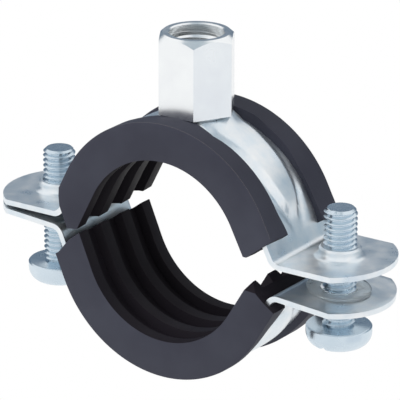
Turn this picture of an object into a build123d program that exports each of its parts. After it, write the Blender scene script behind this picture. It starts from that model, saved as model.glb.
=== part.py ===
"""Rubber lined pipe clamp: two pressed half bands with rubber liners, a connection nut and two locking screws.

Millimetres. The origin is the centre of the pipe seat in the upper half, +X runs towards the right-hand
ear, Y is the pipe's axis and +Z points up the connection nut. Each half is drawn with its arc upwards,
and the lower one is then turned over and swung open about its left-hand screw.
"""

import os
from math import cos, radians, sin

from build123d import *

# Rubber liner and the pipe seat inside it
SEAT_RADIUS = 16.75  # on the lands, for a pipe of 33.7 mm
LINER_HALF_WIDTH = 11.1
RIM_WIDTH = 2.6  # land along each edge of the liner
RIB_CENTRE = 3.3  # two ribs between the rims
RIB_HALF_WIDTH = 1.3
GROOVE_DEPTH = 1.8
GROOVE_DRAFT = 0.4  # how far each side of a groove leans
LIP_RADIUS = 23.7  # outside of the lips that hook over the band
LIP_EDGE = 5.7  # half width of the bare band between the lips
LIP_FLANK = 0.44  # lean of a lip's free edge
BEVEL_RISE = 0.8  # broken outer corners of the front and back faces, across and along the pipe
BEVEL_RUN = 0.3
LINER_REACH = 14.0  # straight length past the arc, before the ends are cut

# Liner ends in front view, from the seat outwards, in the half's own frame
UPPER_LEFT_END = ((-14.0, 1.1), (-18.7, 1.1), (-20.9, 0.8), (-22.6, 4.8), (-22.9, 8.0), (-30.0, 8.0))
UPPER_RIGHT_END = ((14.0, 2.0), (18.2, 2.0), (24.4, 6.8), (30.0, 11.3))
LOWER_LEFT_END = ((14.0, 0.6), (17.6, 0.6), (20.4, 3.1), (22.8, 6.5), (30.0, 9.0))
LOWER_RIGHT_END = ((-14.0, 0.4), (-18.6, 0.4), (-22.0, 2.9), (-25.5, 5.0), (-30.0, 7.0))

# The strip was cut off a little out of square: how far each end leans about the X axis
UPPER_LEFT_LEAN = 5.0
UPPER_RIGHT_LEAN = -3.0
LOWER_LEFT_LEAN = -2.0
LOWER_RIGHT_LEAN = 0.0

# Pressed band, and where it and the liners leave the arc and run straight
SHEET = 1.0
BAND_INNER_RADIUS = 21.1
BAND_HALF_WIDTH = 10.45
STRAIGHT_ANGLE = 27.0  # above the ears
BEND_RADIUS = 1.6  # inside radius where the band turns out into an ear
EAR_LEVEL = 1.3  # mating face of the ears above the seat's centre
EAR_CORNER_X = 35.25
EAR_TIP_X = 40.6
SCREW_X = 30.75

# Stiffening bead, hollow on its inner side
BEAD_HEIGHT = 1.0
BEAD_FOOT = 4.2  # half width where it leaves the band
BEAD_TOP = 2.0  # half width on its crest
BEAD_END_ANGLE = 30.0
BEAD_SINK = 0.4
HOLLOW_MARGIN = 0.6  # how much narrower the hollow side is

# Raised pad that the nut is welded to
PAD_TOP_Z = 23.35
PAD_TOP_RADIUS = 6.7
PAD_FOOT_Z = 19.5
PAD_FOOT_RADIUS = 9.6
PAD_EDGE = 0.8  # broken edge round its top
PAD_HALF_WIDTH = 5.6  # it fills the bare band between the lips

# Threaded collars drawn up from the upper ears, and the plain holes of the lower ears
COLLAR_RADIUS = 4.1
COLLAR_HEIGHT = 1.9
COLLAR_ROOT = 0.8  # splay where it leaves the ear
COLLAR_BORE_RADIUS = 3.05
EAR_HOLE_RADIUS = 3.45

# Locking screws, M6 x 22, pan heads with a slot and a cross
SCREW_RADIUS = 3.0
SCREW_LENGTH = 22.0
SCREW_POINT = 0.6
HEAD_RADIUS = 5.85
HEAD_HEIGHT = 3.9
HEAD_RIM = 1.3
HEAD_SHOULDER_RADIUS = 4.95  # where the two slopes of its dome meet
HEAD_SHOULDER = 2.9
HEAD_CROWN_RADIUS = 3.4
SLOT_WIDTH = 1.6
SLOT_DEPTH = 1.7
CROSS_LENGTH = 5.2
CROSS_WIDTH = 1.3
CROSS_DEPTH = 2.4
CROSS_FLOOR = 0.7  # size of its floor beside its mouth
LEFT_SCREW_END = 10.35  # heights of the threaded ends
RIGHT_SCREW_END = 11.35

# Captive washers on the lower ears
WASHER_RADIUS = 5.8
WASHER_HOLE_RADIUS = 3.3
WASHER_THICKNESS = 0.6

# Connection nut, 13 mm across flats, M10 above M8
NUT_FLATS = 13.0
NUT_BOTTOM = 23.75
NUT_TOP = 38.25
NUT_RING_RADIUS = 6.55  # flat ring on top, inside the broken corners
NUT_CORNER_DROP = 0.55
WELD_RADIUS = 5.7
M10_BORE_RADIUS = 4.25
M10_DEPTH = 8.0
M8_BORE_RADIUS = 3.4
M10_MOUTH_RADIUS = 5.3
M8_MOUTH_RADIUS = 4.25
MOUTH_ANGLE = 90.0

# The lower half hangs open about the left-hand screw
OPEN_ANGLE = 4.1
HINGE_X = -SCREW_X
HINGE_Z = 0.26

band_outer_radius = BAND_INNER_RADIUS + SHEET
ear_top = EAR_LEVEL + SHEET
straight = radians(STRAIGHT_ANGLE)
upright = (Align.CENTER, Align.CENTER, Align.MIN)


def on_arc(radius, angle):
    """Point of the front view at a radius and at an angle in degrees from +X."""
    return (radius * cos(radians(angle)), radius * sin(radians(angle)))


def straight_run_x(radius, height):
    """x, at a height, of the straight run that leaves the arc of this radius."""
    return (radius - height * sin(straight)) / cos(straight)


def radial_plane(angle):
    """Plane through the pipe's axis: x away from the pipe, y along it, z along the arc towards the right."""
    turn = radians(angle)
    return Plane(origin=(0, 0, 0), x_dir=(cos(turn), 0, sin(turn)), z_dir=(sin(turn), 0, -cos(turn)))


def bead_section(foot_radius, margin):
    """Trapezoid across the bead, sunk a little into the cylinder that it stands on."""
    foot = BEAD_FOOT - margin
    top = BEAD_TOP - margin
    with BuildSketch(radial_plane(180 - BEAD_END_ANGLE)) as section:
        with BuildLine():
            Polyline(
                (foot_radius - BEAD_SINK, -foot),
                (foot_radius, -foot),
                (foot_radius + BEAD_HEIGHT, -top),
                (foot_radius + BEAD_HEIGHT, top),
                (foot_radius, foot),
                (foot_radius - BEAD_SINK, foot),
                close=True,
            )
        make_face()
    return section.sketch


def bead_end_planes(foot_radius):
    """Planes where the cones that round off the bead stand, facing away from the pipe."""
    planes = []
    for angle in (BEAD_END_ANGLE, 180 - BEAD_END_ANGLE):
        x, z = on_arc(foot_radius - BEAD_SINK, angle)
        planes.append(Plane(origin=(x, 0, z), x_dir=(0, 1, 0), z_dir=(x, 0, z)))
    return planes


def weld_pad(margin):
    """Flat-topped mound under the nut, cut off at the liner's lips; a margin gives its hollow side."""
    with BuildPart() as pad:
        with BuildSketch(Plane.XZ) as outline:
            with BuildLine():
                Polyline(
                    (0, PAD_FOOT_Z),
                    (PAD_FOOT_RADIUS - margin, PAD_FOOT_Z),
                    (PAD_TOP_RADIUS - margin, PAD_TOP_Z - margin),
                    (0, PAD_TOP_Z - margin),
                    close=True,
                )
            make_face()
            chamfer(outline.vertices().group_by(Axis.Y)[-1].sort_by(Axis.X)[-1], PAD_EDGE)
        revolve(axis=Axis.Z)
        with Locations((0, 0, PAD_FOOT_Z)):
            Box(
                2 * PAD_FOOT_RADIUS,
                2 * (PAD_HALF_WIDTH - margin),
                PAD_TOP_Z - PAD_FOOT_Z,
                align=upright,
                mode=Mode.INTERSECT,
            )
    return pad.part


def pressed_band(has_pad):
    """One pressed strip with its two ears, arc upwards, before the screw holes."""
    outer_left = on_arc(band_outer_radius, 180 - STRAIGHT_ANGLE)
    outer_right = on_arc(band_outer_radius, STRAIGHT_ANGLE)
    inner_left = on_arc(BAND_INNER_RADIUS, 180 - STRAIGHT_ANGLE)
    inner_right = on_arc(BAND_INNER_RADIUS, STRAIGHT_ANGLE)
    outer_bend = straight_run_x(band_outer_radius, ear_top)
    inner_bend = straight_run_x(BAND_INNER_RADIUS, EAR_LEVEL)

    with BuildPart() as band:
        # Edge-on view of the strip, pulled to its width
        with BuildSketch(Plane.XZ) as strip:
            with BuildLine():
                Polyline((-EAR_TIP_X, ear_top), (-outer_bend, ear_top), outer_left)
                ThreePointArc(outer_left, (0, band_outer_radius), outer_right)
                Polyline(outer_right, (outer_bend, ear_top), (EAR_TIP_X, ear_top))
                Polyline((EAR_TIP_X, ear_top), (EAR_TIP_X, EAR_LEVEL), (inner_bend, EAR_LEVEL), inner_right)
                ThreePointArc(inner_right, (0, BAND_INNER_RADIUS), inner_left)
                Polyline(inner_left, (-inner_bend, EAR_LEVEL), (-EAR_TIP_X, EAR_LEVEL), (-EAR_TIP_X, ear_top))
            make_face()
            bends = strip.vertices().filter_by(lambda v: abs(v.Y) < 2 * ear_top and abs(v.X) < EAR_CORNER_X)
            fillet(bends.filter_by(lambda v: v.Y > EAR_LEVEL + SHEET / 2), BEND_RADIUS)
            bends = strip.vertices().filter_by(lambda v: abs(v.Y - EAR_LEVEL) < 0.01 and abs(v.X) < EAR_CORNER_X)
            fillet(bends, BEND_RADIUS + SHEET)
        extrude(amount=BAND_HALF_WIDTH, both=True)

        # Plan view: parallel edges that end in a blunt corner and an arc
        with BuildSketch(Plane.XY):
            Rectangle(2 * EAR_CORNER_X, 2 * BAND_HALF_WIDTH)
            for side in (-1, 1):
                with BuildLine():
                    ThreePointArc(
                        (side * EAR_CORNER_X, BAND_HALF_WIDTH),
                        (side * EAR_TIP_X, 0),
                        (side * EAR_CORNER_X, -BAND_HALF_WIDTH),
                    )
                    Line((side * EAR_CORNER_X, BAND_HALF_WIDTH), (side * EAR_CORNER_X, -BAND_HALF_WIDTH))
                make_face()
        extrude(amount=2 * BAND_INNER_RADIUS, mode=Mode.INTERSECT)

        # Bead along the middle and pad at the top, pressed outwards, then their hollow side
        for foot_radius, margin, mode in (
            (band_outer_radius, 0, Mode.ADD),
            (BAND_INNER_RADIUS, HOLLOW_MARGIN, Mode.SUBTRACT),
        ):
            revolve(
                bead_section(foot_radius, margin),
                axis=Axis.Y,
                revolution_arc=180 - 2 * BEAD_END_ANGLE,
                mode=mode,
            )
            with Locations(*bead_end_planes(foot_radius)):
                Cone(
                    BEAD_FOOT - margin,
                    BEAD_TOP - margin,
                    BEAD_HEIGHT + BEAD_SINK,
                    align=upright,
                    mode=mode,
                )
            if has_pad:
                add(weld_pad(margin), mode=mode)
        # Clear what the sunk feet of bead and pad left inside the band
        if has_pad:
            Cylinder(BAND_INNER_RADIUS, 2 * BAND_HALF_WIDTH, rotation=(90, 0, 0), mode=Mode.SUBTRACT)
    return band.part


def rubber_liner(left_end, left_lean, right_end, right_lean):
    """Liner of one half, arc upwards: ribbed seat, faces round the band's edges and lips over its outside."""
    groove_edges = (-LINER_HALF_WIDTH + RIM_WIDTH, -RIB_CENTRE - RIB_HALF_WIDTH, -RIB_CENTRE + RIB_HALF_WIDTH)
    with BuildPart() as liner:
        profiles = []
        for angle in (180 - STRAIGHT_ANGLE, STRAIGHT_ANGLE):
            with BuildSketch(radial_plane(angle), mode=Mode.PRIVATE) as profile:
                # Block from the seat to the lips, with its outer corners broken
                with BuildLine():
                    Polyline(
                        (SEAT_RADIUS, -LINER_HALF_WIDTH),
                        (LIP_RADIUS - BEVEL_RISE, -LINER_HALF_WIDTH),
                        (LIP_RADIUS, BEVEL_RUN - LINER_HALF_WIDTH),
                        (LIP_RADIUS, LINER_HALF_WIDTH - BEVEL_RUN),
                        (LIP_RADIUS - BEVEL_RISE, LINER_HALF_WIDTH),
                        (SEAT_RADIUS, LINER_HALF_WIDTH),
                        close=True,
                    )
                make_face()
                # Channel that holds the band
                with Locations(((BAND_INNER_RADIUS + band_outer_radius) / 2, 0)):
                    Rectangle(SHEET, 2 * BAND_HALF_WIDTH, mode=Mode.SUBTRACT)
                # Opening between the lips
                with BuildLine():
                    Polyline(
                        (BAND_INNER_RADIUS, -LIP_EDGE),
                        (band_outer_radius, -LIP_EDGE),
                        (LIP_RADIUS + 1, -LIP_EDGE - LIP_FLANK * (LIP_RADIUS + 1 - band_outer_radius)),
                        (LIP_RADIUS + 1, LIP_EDGE + LIP_FLANK * (LIP_RADIUS + 1 - band_outer_radius)),
                        (band_outer_radius, LIP_EDGE),
                        (BAND_INNER_RADIUS, LIP_EDGE),
                        close=True,
                    )
                make_face(mode=Mode.SUBTRACT)
                # Three grooves in the seat
                for start, end in (
                    (groove_edges[0], groove_edges[1]),
                    (groove_edges[2], -groove_edges[2]),
                    (-groove_edges[1], -groove_edges[0]),
                ):
                    with BuildLine():
                        Polyline(
                            (SEAT_RADIUS, start),
                            (SEAT_RADIUS + GROOVE_DEPTH, start + GROOVE_DRAFT),
                            (SEAT_RADIUS + GROOVE_DEPTH, end - GROOVE_DRAFT),
                            (SEAT_RADIUS, end),
                            close=True,
                        )
                    make_face(mode=Mode.SUBTRACT)
            profiles.append(profile.sketch)
        revolve(profiles[0], axis=Axis.Y, revolution_arc=180 - 2 * STRAIGHT_ANGLE)
        extrude(profiles[0], amount=-LINER_REACH)
        extrude(profiles[1], amount=LINER_REACH)
        for end, lean in ((left_end, left_lean), (right_end, right_lean)):
            with BuildSketch(Plane.XZ.rotated((lean, 0, 0))):
                with BuildLine():
                    Polyline(*end, (end[-1][0], -LINER_REACH), (end[0][0], -LINER_REACH), close=True)
                make_face()
            extrude(amount=LINER_HALF_WIDTH + 1.5, both=True, mode=Mode.SUBTRACT)
    return liner.part


def locking_screw(end_height, x):
    """M6 pan head screw, head down; the thread itself is not cut."""
    bearing = end_height - SCREW_LENGTH
    with BuildPart() as screw:
        with BuildSketch(Plane.XZ):
            with BuildLine():
                Polyline(
                    (0, bearing),
                    (0, end_height),
                    (SCREW_RADIUS - SCREW_POINT, end_height),
                    (SCREW_RADIUS, end_height - SCREW_POINT),
                    (SCREW_RADIUS, bearing),
                    close=True,
                )
            make_face()
            with BuildLine():
                Polyline(
                    (0, bearing),
                    (HEAD_RADIUS, bearing),
                    (HEAD_RADIUS, bearing - HEAD_RIM),
                    (HEAD_SHOULDER_RADIUS, bearing - HEAD_SHOULDER),
                    (HEAD_CROWN_RADIUS, bearing - HEAD_HEIGHT),
                    (0, bearing - HEAD_HEIGHT),
                    close=True,
                )
            make_face()
        revolve(axis=Axis.Z)
        crown = Plane.XY.offset(bearing - HEAD_HEIGHT)
        with BuildSketch(crown):
            Rectangle(2 * HEAD_RADIUS, SLOT_WIDTH)
        extrude(amount=SLOT_DEPTH, mode=Mode.SUBTRACT)
        for plane, size in ((crown, 1), (crown.offset(CROSS_DEPTH), CROSS_FLOOR)):
            with BuildSketch(plane):
                Rectangle(size * CROSS_LENGTH, size * CROSS_WIDTH)
                Rectangle(size * CROSS_WIDTH, size * CROSS_LENGTH)
        loft(mode=Mode.SUBTRACT)
    return screw.part.moved(Location((x, 0, 0)))


# The lower half stands upside down below the upper one; closed, the two pairs of ears are parallel
closed_place = Location((SCREW_X, 0, EAR_LEVEL)) * Location((0, 0, 0), (0, 180, 0))
lower_place = Location((HINGE_X, 0, HINGE_Z), (0, OPEN_ANGLE, 0)) * closed_place

with BuildPart() as upper_band:
    add(pressed_band(has_pad=True))
    with BuildSketch(Plane.XY.offset(ear_top)):
        with Locations((-SCREW_X, 0), (SCREW_X, 0)):
            Circle(COLLAR_RADIUS)
    extrude(amount=COLLAR_HEIGHT)
    collar_roots = upper_band.edges().filter_by(GeomType.CIRCLE).filter_by(
        lambda edge: abs(edge.radius - COLLAR_RADIUS) < 0.01 and abs(edge.center().Z - ear_top) < 0.01
    )
    chamfer(collar_roots, COLLAR_ROOT)
    with Locations((-SCREW_X, 0, ear_top), (SCREW_X, 0, ear_top)):
        Hole(COLLAR_BORE_RADIUS)

with BuildPart() as lower_band:
    add(pressed_band(has_pad=False))
    with Locations((-SCREW_X, 0, ear_top), (SCREW_X, 0, ear_top)):
        Hole(EAR_HOLE_RADIUS)

with BuildPart() as connection_nut:
    with BuildSketch(Plane.XY.offset(NUT_BOTTOM)):
        RegularPolygon(NUT_FLATS / 2, 6, major_radius=False)
    extrude(amount=NUT_TOP - NUT_BOTTOM)
    # Corners broken at the top by a shallow cone
    corner_reach = NUT_FLATS / 2 / cos(radians(30))
    with BuildSketch(Plane.XZ):
        with BuildLine():
            Polyline(
                (0, NUT_BOTTOM),
                (corner_reach, NUT_BOTTOM),
                (corner_reach, NUT_TOP - NUT_CORNER_DROP),
                (NUT_RING_RADIUS, NUT_TOP),
                (0, NUT_TOP),
                close=True,
            )
        make_face()
    revolve(axis=Axis.Z, mode=Mode.INTERSECT)
    # Upset weld ring between the nut and the pad
    with BuildSketch(Plane.XY.offset(PAD_TOP_Z)):
        Circle(WELD_RADIUS)
    extrude(amount=NUT_BOTTOM - PAD_TOP_Z)
    # M10 from above, M8 from below
    with Locations((0, 0, NUT_TOP)):
        CounterSinkHole(M10_BORE_RADIUS, M10_MOUTH_RADIUS, M10_DEPTH, MOUTH_ANGLE)
    with Locations(Location((0, 0, PAD_TOP_Z), (180, 0, 0))):
        CounterSinkHole(M8_BORE_RADIUS, M8_MOUTH_RADIUS, NUT_TOP - PAD_TOP_Z, MOUTH_ANGLE)

with BuildPart() as captive_washer:
    with BuildSketch():
        Circle(WASHER_RADIUS)
        Circle(WASHER_HOLE_RADIUS, mode=Mode.SUBTRACT)
    extrude(amount=WASHER_THICKNESS)

# A washer lies on each lower ear
ear_plane = Location((HINGE_X, 0, HINGE_Z), (0, OPEN_ANGLE, 0))
pieces = {
    "upper_band": upper_band.part,
    "upper_liner": rubber_liner(UPPER_LEFT_END, UPPER_LEFT_LEAN, UPPER_RIGHT_END, UPPER_RIGHT_LEAN),
    "connection_nut": connection_nut.part,
    "lower_band": lower_band.part.moved(lower_place),
    "lower_liner": rubber_liner(
        LOWER_RIGHT_END, LOWER_RIGHT_LEAN, LOWER_LEFT_END, LOWER_LEFT_LEAN
    ).moved(lower_place),
    "left_captive_washer": captive_washer.part.moved(ear_plane),
    "right_captive_washer": captive_washer.part.moved(ear_plane * Location((2 * SCREW_X, 0, 0))),
    "left_screw": locking_screw(LEFT_SCREW_END, -SCREW_X),
    "right_screw": locking_screw(RIGHT_SCREW_END, SCREW_X),
}

os.makedirs("parts", exist_ok=True)
for name, piece in pieces.items():
    piece.label = name
    export_step(piece, f"parts/{name}.step")
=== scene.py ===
"""Rubber lined pipe clamp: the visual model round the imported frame.

Every piece is modelled in the frame's own place. The lower half is drawn with its arc upwards, like the
upper one, and then turned over and swung open about its left-hand screw.
"""

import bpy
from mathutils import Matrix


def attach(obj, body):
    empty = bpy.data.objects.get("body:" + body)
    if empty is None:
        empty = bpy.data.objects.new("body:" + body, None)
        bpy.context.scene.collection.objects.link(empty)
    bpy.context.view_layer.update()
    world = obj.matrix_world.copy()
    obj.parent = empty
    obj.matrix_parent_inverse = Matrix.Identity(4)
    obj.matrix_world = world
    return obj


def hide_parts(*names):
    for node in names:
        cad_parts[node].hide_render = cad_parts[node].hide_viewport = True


bl_info = {
    "name": "Rubber Lined Pipe Clamp",
    "version": (1, 0, 0),
    "blender": (4, 5, 0),
    "location": "View3D > Sidebar > Pipe Clamp",
    "description": "Models a rubber lined pipe clamp with pressed bands, liners, nut, screws and washers",
    "category": "Add Mesh",
}

from math import atan2, cos, degrees, hypot, pi, radians, sin, tan

import bmesh
import bpy
from mathutils import Matrix, Vector

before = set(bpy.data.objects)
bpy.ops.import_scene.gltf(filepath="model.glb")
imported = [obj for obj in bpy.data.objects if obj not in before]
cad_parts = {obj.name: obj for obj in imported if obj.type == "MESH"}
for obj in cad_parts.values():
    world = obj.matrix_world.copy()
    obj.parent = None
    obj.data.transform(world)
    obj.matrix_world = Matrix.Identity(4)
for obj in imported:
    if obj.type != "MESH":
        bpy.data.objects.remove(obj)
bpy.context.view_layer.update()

MM = 0.001
CLOSE = 1e-6  # vertices nearer than this are one
STRAIGHT = radians(27)  # angle above the ears where bands and liners leave the arc
ARC = pi - 2 * STRAIGHT
BEAD_FADE = radians(13)  # over which the bead runs out
PAD_RISE = 4  # most that the pad can be pressed up (millimetres)
LINER_REACH = 14  # straight length of a liner past its arc, before its ends are cut (millimetres)
LIP_REACH = 3.5  # most that a lip's edge can be moved (millimetres)
UPPER_BEVEL, LOWER_BEVEL = 1.0, 0.15  # share of the corner bevel that each liner's faces have
SCREW_TURNS = {"left": 0.35, "right": 1.47}  # how each screw is turned about its axis (radians)
FLOOR_LEVEL = -0.16
FRAME_PIXELS = 400  # width of the picture
SENSOR = 36.0  # width of the camera's sensor (millimetres)

# Liner ends in front view, from the seat outwards, in the half's own frame (millimetres).
# LOWER_RIGHT_FACE takes only the near face's corner off, aslant.
UPPER_LEFT_END = ((-14.0, 1.1), (-18.7, 1.1), (-20.9, 0.8), (-22.6, 4.8), (-22.9, 8.0), (-30.0, 8.0))
UPPER_RIGHT_END = ((14.0, 2.0), (18.2, 2.0), (24.4, 6.8), (30.0, 11.3))
LOWER_LEFT_END = ((14.0, 0.6), (17.6, 0.6), (20.4, 3.1), (22.8, 6.5), (30.0, 9.0))
LOWER_RIGHT_FACE = ((-14.0, -5.0), (-20.8, -5.0), (-22.3, -4.2), (-25.2, -3.0), (-30.0, -1.0))
LOWER_RIGHT_END = ((-14.0, 0.4), (-18.6, 0.4), (-22.0, 2.9), (-25.5, 5.0), (-30.0, 7.0))

# How far each end was cut out of square, in degrees about the X axis
UPPER_LEFT_LEAN = 5.0
UPPER_RIGHT_LEAN = -3.0
LOWER_LEFT_LEAN = 0.0
LOWER_RIGHT_LEAN = 0.0
LOWER_RIGHT_FACE_LEAN = -35.0

# From where to where along the pipe each end cut reaches (millimetres)
WHOLE_WIDTH = (-13.0, 13.0)
NEAR_FACE = (-13.5, -6.5)

# Shapes that change along the arc, as (degrees from the top, millimetres): the bead's half width at its
# foot, and how far the lips' upper inner edges stand towards the middle of the band
BEAD_FEET = ((0, 5.9), (23, 5.9), (34, 5.1), (44, 4.6), (56, 3.7), (64, 2.6), (72, 1.0))
NEAR_LIP = (
    *((0, 1.0), (6, 0.7), (10, 0.4), (15.5, -0.2), (21, -0.7)),
    *((25, -0.46), (30, -0.27), (45, 0), (64, 0.25), (72, 0.85)),
)
FAR_LIP = ((0, 0.9), (10, 0.4), (20, -0.2), (30, 0.5), (40, 0.45), (50, 1.2), (60, 1.2), (72, 0.9))
LOWER_NEAR_LIP = ((0, -0.5), (40, -3.0), (55.6, -3.3), (68.5, -2.2), (77, -1.0), (90, -0.6))
LOWER_FAR_LIP = ((0, 0), (52, 0), (62, -0.9), (70, -1.6), (90, -1.8))
STRAIGHT_LIP = ((0, 0), (90, 0))


def length(name, description, millimetres):
    """A size in metres, given in millimetres."""
    return bpy.props.FloatProperty(
        name=name, description=description, default=millimetres * MM, min=0.0, precision=5, unit="LENGTH"
    )


def turn(name, description, size):
    """An angle in radians, given in degrees."""
    return bpy.props.FloatProperty(name=name, description=description, default=radians(size), subtype="ANGLE")


def colour(name, description, *rgb):
    """A colour as the shader reads it."""
    return bpy.props.FloatVectorProperty(
        name=name, description=description, default=rgb, min=0.0, max=1.0, size=3, subtype="COLOR"
    )


class PipeClampBandSizes(bpy.types.PropertyGroup):
    """Sizes of the two pressed half bands."""

    sheet: length("Sheet", "Thickness of the pressed steel", 1.0)
    inner_radius: length("Inner radius", "Inside of the band round the liner", 21.1)
    half_width: length("Half width", "Half the strip's width along the pipe", 10.45)
    bend: length("Bend", "Inside radius of the bend into an ear", 1.6)
    ear_level: length("Ear level", "Mating face of the ears above the seat's centre", 1.3)
    ear_corner: length("Ear corner", "Where an ear's parallel edges end", 35.25)
    ear_tip: length("Ear tip", "End of an ear", 40.6)
    screw_distance: length("Screw distance", "From the middle to each screw", 30.75)
    bead_height: length("Bead height", "How far the stiffening bead stands up", 1.0)
    bead_end: turn("Bead end", "Angle above the ears where the bead has run out", 16)
    pad_top: length("Pad top", "Height of the raised pad under the nut", 23.35)
    pad_top_radius: length("Pad top radius", "Flat part of the pad", 6.7)
    pad_foot_height: length("Pad foot height", "Height where the pad's cone is at its foot radius", 19.5)
    pad_foot_radius: length("Pad foot radius", "Radius of the pad's cone at its foot", 9.6)
    pad_half_width: length("Pad half width", "The pad fills the bare band between the lips", 5.6)
    collar_radius: length("Collar radius", "Outside of the drawn collar round each upper hole", 3.8)
    collar_height: length("Collar height", "How far the collar stands up", 1.9)
    collar_root: length("Collar root", "Radius at the foot of the collar", 1.1)
    collar_bore: length("Collar bore", "Radius of the hole in the collar", 3.05)
    plain_hole: length("Plain hole", "Radius of the lower ears' holes", 3.45)
    edge: length("Edge", "Rounding of the sheared edges", 0.13)


class PipeClampLinerSizes(bpy.types.PropertyGroup):
    """Sizes of the rubber liners' section."""

    seat_radius: length("Seat radius", "Radius of the pipe seat on the lands", 16.75)
    half_width: length("Half width", "Half the liner's width along the pipe", 11.1)
    rim_width: length("Rim width", "Land along each edge", 2.6)
    rib_centre: length("Rib centre", "Distance of the two ribs from the middle", 3.3)
    rib_half_width: length("Rib half width", "Half the width of a rib", 1.3)
    groove_depth: length("Groove depth", "Depth of the grooves in the seat", 1.8)
    groove_draft: length("Groove draft", "Lean of each side of a groove", 0.4)
    lip_radius: length("Lip radius", "Outside of the lips over the band", 23.7)
    lip_edge: length("Lip edge", "Half width of the bare band between the lips", 5.7)
    lip_flank: length("Lip flank", "Lean of a lip's free edge", 0.44)
    bevel_rise: length("Bevel rise", "Broken outer corners of the faces, away from the pipe", 0.8)
    bevel_run: length("Bevel run", "Broken outer corners of the faces, along the pipe", 0.3)
    softness: length("Softness", "Rounding of the moulded edges", 0.2)


class PipeClampFastenerSizes(bpy.types.PropertyGroup):
    """Sizes of the nut, the screws and the washers."""

    nut_flats: length("Nut flats", "Width across the nut's flats", 13.0)
    nut_bottom: length("Nut bottom", "Height of the nut's lower end", 23.65)
    nut_top: length("Nut top", "Height of the nut's upper end", 38.25)
    nut_ring: length("Nut ring", "Radius of the flat ring on top", 6.1)
    nut_corner_drop: length("Nut corner drop", "How far the corners are broken down", 1.25)
    nut_mouth: length("Nut mouth", "Radius of the countersunk mouth", 5.2)
    nut_throat: length("Nut throat", "Radius of the plain bore above the thread", 4.95)
    nut_throat_depth: length("Nut throat depth", "Where the thread begins under the top", 2.2)
    weld_radius: length("Weld radius", "Upset weld ring under the nut", 5.7)
    rod_radius: length("Rod radius", "Crest radius of the upper rod thread", 5.0)
    rod_pitch: length("Rod pitch", "Pitch of the upper rod thread", 1.5)
    rod_depth: length("Rod depth", "Depth of the upper rod thread", 8.0)
    small_rod_radius: length("Small rod radius", "Crest radius of the lower rod thread", 4.0)
    small_rod_pitch: length("Small rod pitch", "Pitch of the lower rod thread", 1.25)
    screw_radius: length("Screw radius", "Crest radius of the locking screws", 3.0)
    screw_pitch: length("Screw pitch", "Pitch of the locking screws", 1.0)
    screw_length: length("Screw length", "Length under the head", 22.0)
    screw_point: length("Screw point", "Broken corner at the screw's end", 0.6)
    left_end: length("Left end", "Height of the left screw's end", 10.35)
    right_end: length("Right end", "Height of the right screw's end", 11.35)
    head_radius: length("Head radius", "Radius of the pan head", 5.95)
    head_height: length("Head height", "Height of the pan head", 3.9)
    head_rim: length("Head rim", "Straight part of the head's side", 1.3)
    head_crown: length("Head crown", "Radius of the head's flat crown", 3.4)
    slot_width: length("Slot width", "Width of the slot", 1.6)
    slot_depth: length("Slot depth", "Depth of the slot", 1.7)
    cross_length: length("Cross length", "Length of each wing of the cross recess", 5.2)
    cross_width: length("Cross width", "Width of each wing of the cross recess", 1.3)
    cross_depth: length("Cross depth", "Depth of the cross recess", 2.4)
    washer_radius: length("Washer radius", "Outside of the captive washers", 5.8)
    washer_hole: length("Washer hole", "Hole of the captive washers", 3.3)
    washer_thickness: length("Washer thickness", "Thickness of the captive washers", 0.6)


class PipeClampPlacing(bpy.types.PropertyGroup):
    """How far the lower half hangs open, and about which point."""

    open_angle: turn("Open angle", "Swing of the lower half", 4.1)
    hinge_height: length("Hinge height", "Height of the point that the lower half swings about", 0.26)


class PipeClampColours(bpy.types.PropertyGroup):
    """Colours of the finishes."""

    zinc: colour("Zinc", "Bright zinc plating of bands and nut", 0.88, 0.90, 0.91)
    zinc_blue: colour("Blue tinge", "Bluish clouds in the plating", 0.68, 0.765, 0.83)
    nut_zinc: colour("Nut zinc", "Plating of the nut", 0.93, 0.955, 0.96)
    nut_shade: colour("Nut shade", "Cloudy parts of the nut's plating", 0.86, 0.88, 0.90)
    screw_zinc: colour("Screw zinc", "Plating of the screws", 0.60, 0.70, 0.78)
    rubber: colour("Rubber", "Charcoal of the liners", 0.028, 0.029, 0.043)
    rubber_bloom: colour("Rubber bloom", "Lighter dust and bloom on the rubber", 0.047, 0.050, 0.068)
    # Painted highlight: paler rubber along the rounded edge between the broad faces and the lips
    rubber_edge_painted_highlight: colour("Rubber edge", "Paler moulded edge of the faces", 0.15, 0.14, 0.14)
    # Painted shade: darker rubber for the seat and the cut ends, where little light reaches
    seat_rubber_painted_shade: colour("Seat rubber", "Clean, darker rubber inside the liners", 0.013, 0.011, 0.015)
    card: colour("Card", "Blue-grey card that the upward faces reflect", 0.15, 0.205, 0.27)
    shade: colour("Shade", "Pale card low at the right", 0.86, 0.885, 0.92)
    half_shade: colour("Half shade", "Cards that temper the white studio", 0.40, 0.48, 0.54)
    plastic: colour("Plastic", "Clear plastic of the washers", 0.86, 0.90, 0.92)
    floor: colour("Floor", "Floor and backdrop", 1.0, 1.0, 1.0)


# ---------------------------------------------------------------- modelling helpers


def deselect():
    """Leave edit mode and select nothing."""
    if bpy.context.object and bpy.context.object.mode != "OBJECT":
        bpy.ops.object.mode_set(mode="OBJECT")
    bpy.ops.object.select_all(action="DESELECT")


def activate(piece):
    """Make one object the selected and active one."""
    deselect()
    piece.select_set(True)
    bpy.context.view_layer.objects.active = piece


def edit(piece):
    """Open an object for editing."""
    activate(piece)
    bpy.ops.object.mode_set(mode="EDIT")


def pick_faces(piece, test):
    """In edit mode, select the faces that a test on centre and normal picks."""
    bpy.ops.mesh.select_mode(type="FACE")
    bpy.ops.mesh.select_all(action="DESELECT")
    shape = bmesh.from_edit_mesh(piece.data)
    for face in shape.faces:
        face.select_set(test(face.calc_center_median(), face.normal))
    shape.select_flush_mode()
    bmesh.update_edit_mesh(piece.data)


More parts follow.
